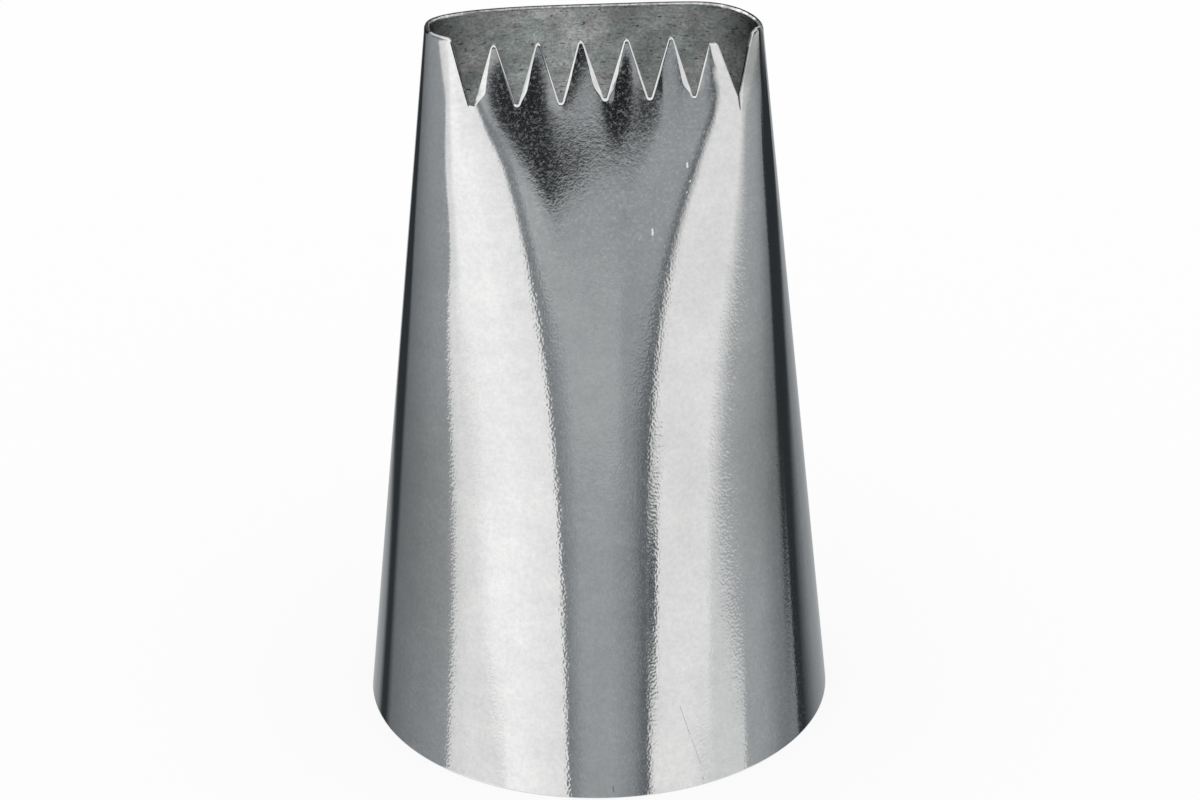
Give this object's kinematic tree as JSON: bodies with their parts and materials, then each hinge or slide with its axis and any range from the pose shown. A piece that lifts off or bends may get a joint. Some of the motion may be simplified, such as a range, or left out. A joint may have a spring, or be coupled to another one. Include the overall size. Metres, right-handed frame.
{
  "type": "piping nozzle",
  "caption": "Sheet metal piping nozzle with a round base and a flat mouth whose front edge is cut into teeth, for ribbed ribbons of icing.",
  "frame": {"origin": "centre of the round base, on the plane that it stands on", "axes": "+Z along the nozzle from base to mouth, +X along the mouth's long side, -Y towards the toothed front wall"},
  "size_m": [0.035, 0.035, 0.056],
  "materials": {
    "sheet_metal": "bright rolled sheet, fine grain"
  },
  "bodies": {
    "root": {"nozzle_shell": "sheet_metal"}
  },
  "joints": []
}
